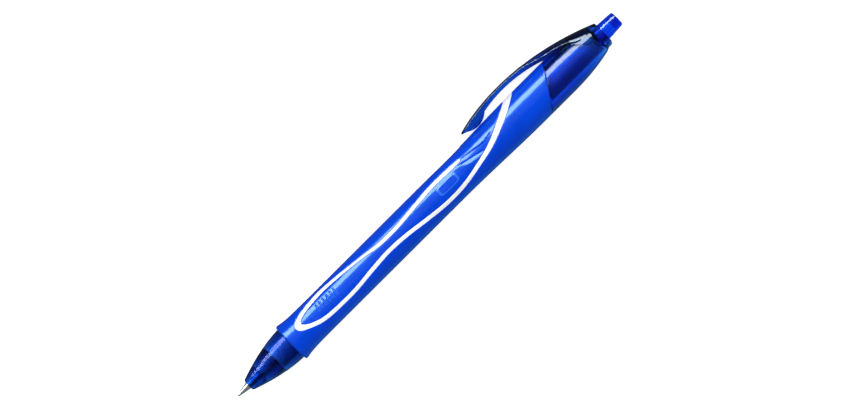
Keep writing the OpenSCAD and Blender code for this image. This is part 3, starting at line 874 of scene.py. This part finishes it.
collar_outside = [(float(clip_top_x(z)), z, 0) for z in np.linspace(COLLAR_FRONT_Z, COLLAR_Z - 0.25, 10)]
collar_rear = [(float(clip_top_x(COLLAR_Z)), COLLAR_Z, 0.25), (COLLAR_BORE_R, COLLAR_Z, 0.15)]
collar = finish_mesh("clip_collar_ring", *lathe(
    rounded([(COLLAR_BORE_R, COLLAR_FRONT_Z, 0)] + collar_outside + collar_rear, 0.1), 128))
dress(collar, "clip", ["clip_collar"], "pen_body")

TAB_X, TAB_DEEP, TAB_WIDE, TAB_SIDES = -3.15, 0.5, 0.85, 32
TAB_ROWS = ((137.38, 0.0), (137.6, 0.25), (138.2, 0.42), (138.8, 0.42), (139.2, 0.3), (139.42, 0.05))


def snap_tab():
    """The collar's tab: an oval block whose rows give z and how much it has grown there."""
    turn = np.linspace(0, 2 * math.pi, TAB_SIDES, endpoint=False)
    return loft([world(TAB_X - (TAB_DEEP + grow) * np.cos(turn), (TAB_WIDE + grow) * np.sin(turn), z)
                 for z, grow in TAB_ROWS])


tab = finish_mesh("snap_tab", *snap_tab(), sharp=60)
dress(tab, "tab", (), "pen_body")

# ---- push button ----

RIB_Z, RIB_END_Z, RIB_LOW, RIB_HIGH, RIB_DEGREES = 128.1, 131.15, 1.9, 2.9, 9.6


def rib(middle):
    """A guide rib of the button: a block between two radii, this many degrees round from the clip."""
    turn = np.radians(middle + RIB_DEGREES * np.linspace(-0.5, 0.5, 6))
    x = np.concatenate([RIB_HIGH * np.cos(turn), RIB_LOW * np.cos(turn[::-1])])
    y = np.concatenate([RIB_HIGH * np.sin(turn), RIB_LOW * np.sin(turn[::-1])])
    return loft([world(x, y, z) for z in np.linspace(RIB_Z, RIB_END_Z, 4)])


button_body = lathe(rounded(
    [(1.3, 127.9, 0.05), (BUTTON_R, 127.9, 0.05), (BUTTON_R, 137.7, 0.1), (BUTTON_HEAD_R, 137.95, 0.1),
     (BUTTON_HEAD_R, 140.3, 0.5), (2.26, 144.4, 0), (2.2, 144.8, 0.2), (1.85, BUTTON_END, 0.25),
     (0.0, BUTTON_END, 0), (0.0, 142.6, 0), (1.3, 142.6, 0.2)], 0.1))
button = finish_mesh("button_cap", *merged(button_body, *(rib(45 + 90 * k) for k in range(4))))
dress(button, "button", ["push_button"], "button")

# ---- steel tip and return spring ----

tip_profile = [(0.20, 1.4, 0), (0.24, 0.24, 0), (0.37, 0.22, 0.03), (0.42, 0.5, 0), (0.6, 1.45, 0),
               (0.92, 3.3, 0), (1.05, 4.1, 0.1), (1.08, 4.3, 0.05), (1.08, 10.9, 0.08), (0.6, 11.0, 0.05),
               (0.6, 2.2, 0)]
tip = finish_mesh("tip_point", *lathe(rounded(tip_profile, 0.03)))
dress(tip, "tip", ["writing_tip"], "refill")

SPRING_R, SPRING_WIRE, SPRING_TURNS = 1.9, 0.15, 16
SPRING_Z0, SPRING_Z1 = 9.0, 21.8
CLOSED_TURN = 0.026  # the share of the spring's length that the closed turn at each end takes


def spring_path():
    """Coils with a closed turn at each end."""
    t = np.linspace(0, SPRING_TURNS, SPRING_TURNS * 32 + 1)
    rise = np.interp(t, [0, 1, SPRING_TURNS - 1, SPRING_TURNS], [0, CLOSED_TURN, 1 - CLOSED_TURN, 1])
    a = 2 * math.pi * t
    z = SPRING_Z0 + (SPRING_Z1 - SPRING_Z0) * rise
    return np.stack([SPRING_R * np.cos(a), SPRING_R * np.sin(a), z], -1)


spring = finish_mesh("coil_spring", *wire(spring_path(), SPRING_WIRE), sharp=60)
dress(spring, "spring", ["return_spring"])

# ---- CAD nodes that stay, with their own looks ----

for node, look in (("cam_sleeve", "cam"), ("cam_rotor", "rotor"), ("refill_tube", "tube"),
                   ("gel_ink", "ink"), ("ink_follower", "grease"), ("tail_plug", "holder"),
                   ("tip_holder", "holder"), ("ball_spring", "spring"), ("writing_ball", "ball")):
    wear(frame["nodes"][node], look)

# ---- the clip and the spring, with their placement written into their meshes ----


def at(x, y, z):
    """One point of the pen's own axes, as a tuple of the CAD frame."""
    return tuple(world(x, y, z))


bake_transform(clip)
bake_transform(spring)

# ---- floor, light and camera ----

# The camera looks down on the pen's flank, this much round from it towards the clip
VIEW_ROUND, VIEW_ROLL = math.radians(6), math.radians(44.9)
VIEW_ELEVATION = math.radians(90) - VIEW_ROUND - LIE
TOWARDS = Vector((0, -math.cos(VIEW_ELEVATION), math.sin(VIEW_ELEVATION)))
ALONG = Vector((-1, 0, 0))
CLIPWARDS = Vector((0, -math.sin(VIEW_ELEVATION), -math.cos(VIEW_ELEVATION)))
MIDDLE = Vector((0, AXIS_Y, AXIS_Z))
VIEW_WIDTH, SHIFT_RIGHT, SHIFT_UP = 233 * MM, 0.65 * MM, 0.54 * MM
LENS, SENSOR = 200.0, 36.0


def floor():
    """White ground that gives the pen no reflection, no bounced light and no shadow."""
    bpy.ops.mesh.primitive_grid_add(x_subdivisions=2, y_subdivisions=2, size=3.0, location=(0, 0, cad_low.z))
    plane = bpy.context.object
    plane.name = "floor"
    p = Paint("floor_look", Roughness=0.6)
    p.colours(p.noise(6), (0.66, 0.66, 0.665), (0.68, 0.68, 0.68))
    p.shader.inputs["Emission Color"].default_value = (1, 1, 1, 1)
    p.shader.inputs["Emission Strength"].default_value = 0.8
    plane.data.materials.append(p.mat)
    plane.visible_glossy = False
    plane.visible_diffuse = False
    plane.visible_shadow = False


def sky():
    """White studio dome, brighter on the clip's side, and much dimmer in reflections."""
    scene = bpy.context.scene
    scene.world = bpy.data.worlds.new("studio")
    scene.world.use_nodes = True
    tree = scene.world.node_tree
    tree.nodes.clear()

    def add(kind):
        return tree.nodes.new("ShaderNode" + kind)

    def background(colour, strength):
        node = add("Background")
        node.inputs["Color"].default_value = (*colour, 1)
        node.inputs["Strength"].default_value = strength
        return node

    def choice(ray, other, chosen):
        """One shader for this kind of ray, and another for the rest."""
        node = add("MixShader")
        tree.links.new(rays.outputs[ray], node.inputs["Fac"])
        tree.links.new(other.outputs[0], node.inputs[1])
        tree.links.new(chosen.outputs[0], node.inputs[2])
        return node

    rays = add("LightPath")
    dot = add("VectorMath")
    dot.operation = "DOT_PRODUCT"
    dot.inputs[1].default_value = (0.0, -1.0, 0.0)
    tree.links.new(add("TexCoord").outputs["Generated"], dot.inputs[0])
    level = add("MapRange")
    for key, value in (("From Min", -1.0), ("From Max", 1.0), ("To Min", 0.12), ("To Max", 0.3)):
        level.inputs[key].default_value = value
    tree.links.new(dot.outputs["Value"], level.inputs["Value"])
    wide = background((1, 1, 1), 1)
    tree.links.new(level.outputs["Result"], wide.inputs["Strength"])
    lit = choice("Is Glossy Ray", wide, background((0.7, 0.88, 1), 0.1))
    seen = choice("Is Camera Ray", lit, background((1, 1, 1), 1))
    tree.links.new(seen.outputs[0], add("OutputWorld").inputs["Surface"])


def soft_box(name, way, distance, length, width, power, colour=(1, 1, 1), gloss=False):
    """A soft box in the direction of way. It gives either the gloss alone or everything but the gloss."""
    light = bpy.data.lights.new(name, "AREA")
    light.shape = "RECTANGLE"
    light.size, light.size_y = length, width
    light.energy = power
    light.color = colour
    obj = add_object(name, light)
    back = way.normalized()
    up = back.cross(ALONG).normalized()
    basis = Matrix((ALONG, up, back)).transposed()
    obj.matrix_world = Matrix.Translation(MIDDLE + back * distance) @ basis.to_4x4()
    obj.visible_camera = False
    obj.visible_diffuse = not gloss
    obj.visible_glossy = gloss


def round_from_view(degrees):
    """Direction turned about the pen from the camera's towards the clip's side."""
    return TOWARDS * math.cos(math.radians(degrees)) + CLIPWARDS * math.sin(math.radians(degrees))


def camera():
    """The photograph's view, with the pen lying aslant from lower left to upper right."""
    right = ALONG * math.cos(VIEW_ROLL) - CLIPWARDS * math.sin(VIEW_ROLL)
    up = ALONG * math.sin(VIEW_ROLL) + CLIPWARDS * math.cos(VIEW_ROLL)
    data = bpy.data.cameras.new("camera")
    data.lens, data.sensor_width = LENS, SENSOR
    data.clip_start, data.clip_end = 0.05, 20
    cam = add_object("camera", data)
    place = MIDDLE + right * SHIFT_RIGHT + up * SHIFT_UP + TOWARDS * (LENS * VIEW_WIDTH / SENSOR)
    cam.matrix_world = Matrix.Translation(place) @ Matrix((right, up, TOWARDS)).transposed().to_4x4()
    bpy.context.scene.camera = cam


floor()
sky()
soft_box("key_box", Vector((0, -0.75, 0.66)), 1.2, 1.4, 1.2, 16.0)
soft_box("fill_box", Vector((0, 0.95, 0.3)), 1.2, 1.4, 0.8, 3.5)
soft_box("gloss_box", round_from_view(53), 0.55, 0.9, 0.26, 10.0, (0.86, 0.92, 1.0), gloss=True)
soft_box("halo_box", round_from_view(50), 0.6, 0.9, 0.62, 2.2, (0.1, 0.7, 1.0), gloss=True)
soft_box("rim_box", round_from_view(-127), 0.55, 0.9, 0.34, 0.7, (0.0, 0.42, 1.0), gloss=True)
camera()
bpy.context.scene.view_settings.view_transform = "Standard"
